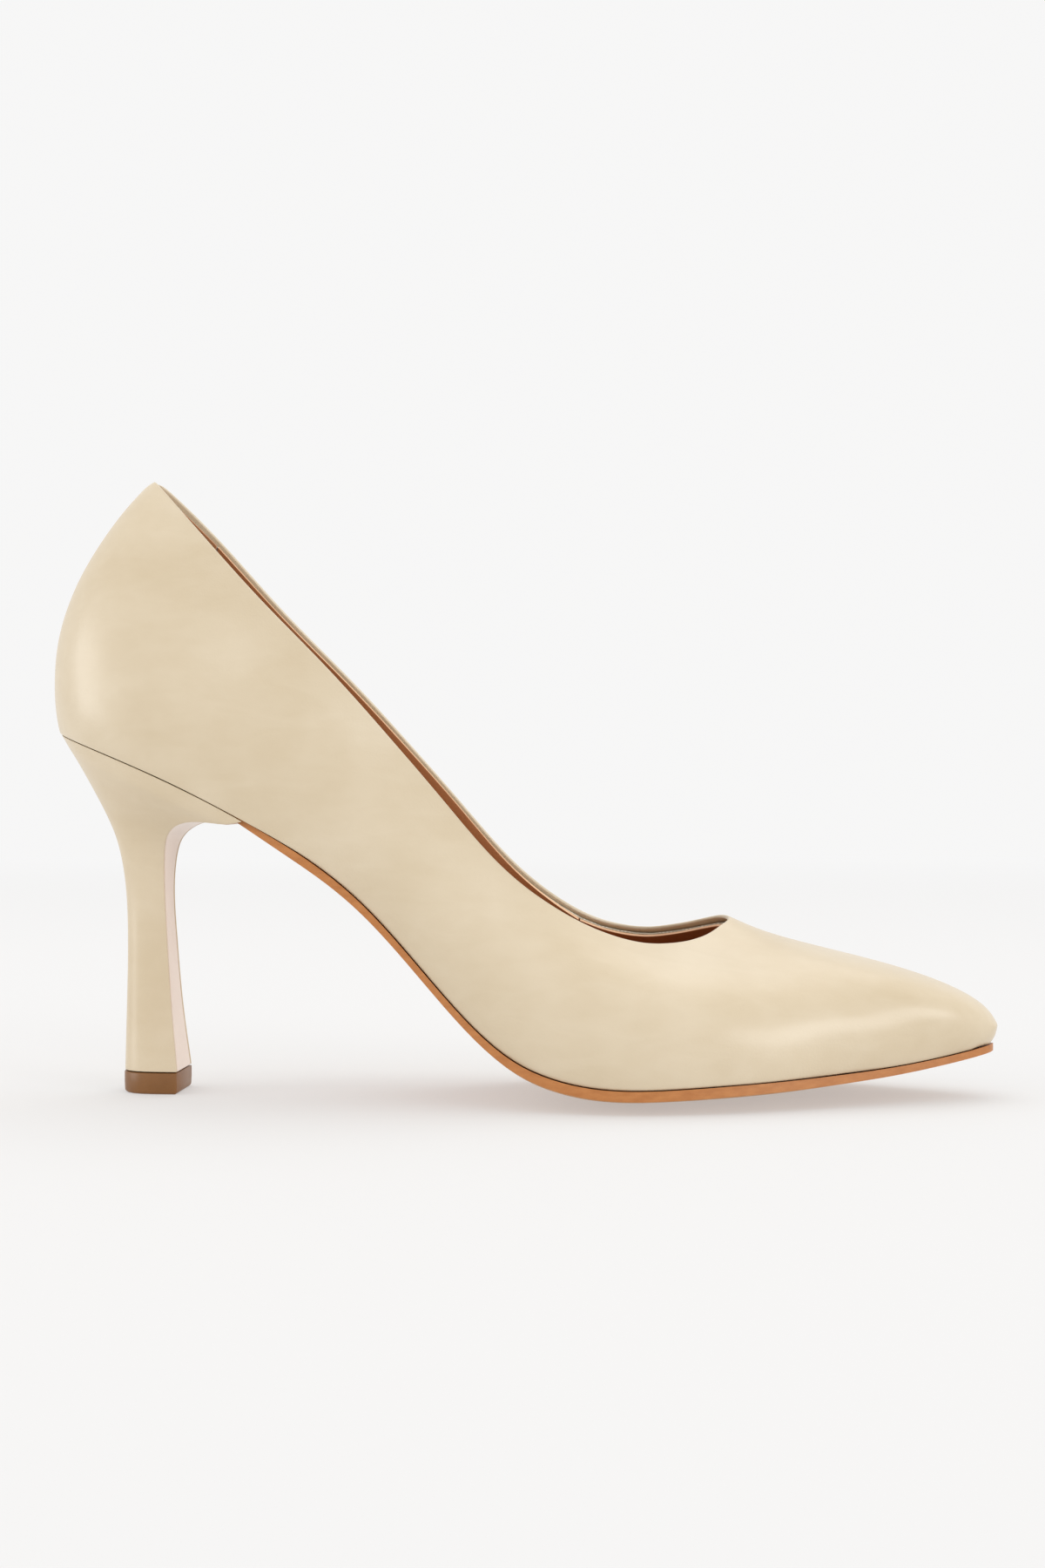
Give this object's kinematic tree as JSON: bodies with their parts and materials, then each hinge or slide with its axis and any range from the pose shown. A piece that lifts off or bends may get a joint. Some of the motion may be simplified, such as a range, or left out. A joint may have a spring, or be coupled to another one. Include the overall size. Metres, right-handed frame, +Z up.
{
  "type": "high heel pump",
  "caption": "Pointed court shoe with a low-cut opening, a covered flared high heel with a replaceable tip, and a thin sole.",
  "frame": {"origin": "middle of the shoe's length and width, on the ground under the heel tip and the ball of the sole", "axes": "+X to the toe, +Y to the inner (medial) side of this right shoe, +Z up"},
  "size_m": [0.2369, 0.0763, 0.1543],
  "materials": {
    "cream_leather": "smooth semi-matt cream leather",
    "tan_lining": "smooth tan lining leather",
    "suede": "matt brushed suede",
    "tan_sole": "waxed edge, smooth tread",
    "tip_plastic": "moulded brown polyurethane",
    "heel_plastic": "moulded ABS",
    "insole_fibreboard": "pressed cellulose board",
    "stiffener_fibre": "impregnated fibre sheet",
    "reinforcing_tape": "woven nylon tape",
    "cork": "granulated cork sheet",
    "foam": "latex foam",
    "steel": "zinc-plated steel"
  },
  "bodies": {
    "root": {"upper_outer": "cream_leather", "toe_puff": "stiffener_fibre", "heel_counter": "stiffener_fibre", "topline_tape": "reinforcing_tape", "vamp_lining": "tan_lining", "quarter_lining_lateral": "tan_lining", "quarter_lining_medial": "tan_lining", "heel_grip": "suede", "shank_board": "insole_fibreboard", "insole_board": "insole_fibreboard", "steel_shank": "steel", "bottom_filler": "cork", "comfort_foam": "foam", "sock_lining": "tan_lining", "outsole": "tan_sole", "heel_core": "heel_plastic", "heel_cover": "cream_leather", "heel_breast_cover": "cream_leather", "heel_tube": "steel", "top_lift": "tip_plastic", "top_lift_pin": "steel", "heel_screw": "steel", "heel_nail_1": "steel", "heel_nail_2": "steel", "heel_nail_3": "steel", "heel_nail_4": "steel", "shank_rivet_rear": "steel", "shank_rivet_front": "steel"}
  },
  "joints": []
}
